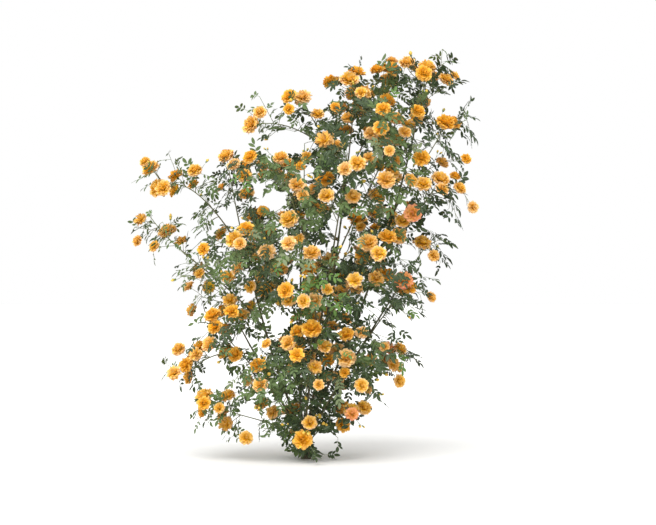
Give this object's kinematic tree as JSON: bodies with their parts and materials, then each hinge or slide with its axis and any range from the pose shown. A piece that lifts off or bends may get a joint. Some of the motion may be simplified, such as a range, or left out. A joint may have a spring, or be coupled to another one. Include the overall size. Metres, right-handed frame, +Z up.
{
  "type": "climbing rose",
  "caption": "Climbing rose in flower: a short woody stem, arching canes fanned out from it, and leafy sprays of double apricot-yellow blooms.",
  "frame": {"origin": "middle of the flat cut under the stem, at ground level", "axes": "+Z up, +X to the right of the viewer in front, +Y away from that viewer"},
  "size_m": [1.6417, 0.9054, 1.9148],
  "materials": {
    "bark": "matt olive-brown bark",
    "foliage": "satin green leaves",
    "blossom": "soft apricot-yellow petals"
  },
  "bodies": {
    "root": {"stem": "bark", "cane_left": "bark", "cane_upper_left": "bark", "cane_back": "bark", "cane_front": "bark", "cane_top": "bark", "cane_right": "bark", "cane_low_right": "bark", "cane_far_left": "bark", "cane_left_hook": "bark", "cane_left_hanging": "bark", "cane_left_skirt": "bark", "cane_left_shoulder": "bark", "cane_top_left": "bark", "cane_right_shoulder": "bark", "cane_right_middle": "bark", "cane_right_lower": "bark", "cane_right_skirt": "bark", "cane_front_left": "bark", "cane_front_right": "bark", "cane_front_middle_left": "bark", "cane_front_middle": "bark", "cane_front_middle_right": "bark", "cane_back_right": "bark", "cane_back_middle_left": "bark", "cane_back_middle_right": "bark", "cane_back_low": "bark", "spray_left": "foliage", "spray_upper_left": "foliage", "spray_back": "foliage", "spray_front": "foliage", "spray_top": "foliage", "spray_right": "foliage", "spray_low_right": "foliage", "spray_far_left": "foliage", "spray_left_hook": "foliage", "spray_left_hanging": "foliage", "spray_left_skirt": "foliage", "spray_left_shoulder": "foliage", "spray_top_left": "foliage", "spray_right_shoulder": "foliage", "spray_right_middle": "foliage", "spray_right_lower": "foliage", "spray_right_skirt": "foliage", "spray_front_left": "foliage", "spray_front_right": "foliage", "spray_front_middle_left": "foliage", "spray_front_middle": "foliage", "spray_front_middle_right": "foliage", "spray_back_right": "foliage", "spray_back_middle_left": "foliage", "spray_back_middle_right": "foliage", "spray_back_low": "foliage", "spray_foot_left": "foliage", "spray_foot_front": "foliage", "spray_foot_right": "foliage", "spray_foot_back": "foliage", "spray_low_left": "foliage", "spray_low_front": "foliage", "spray_low_front_right": "foliage"}
  },
  "joints": []
}
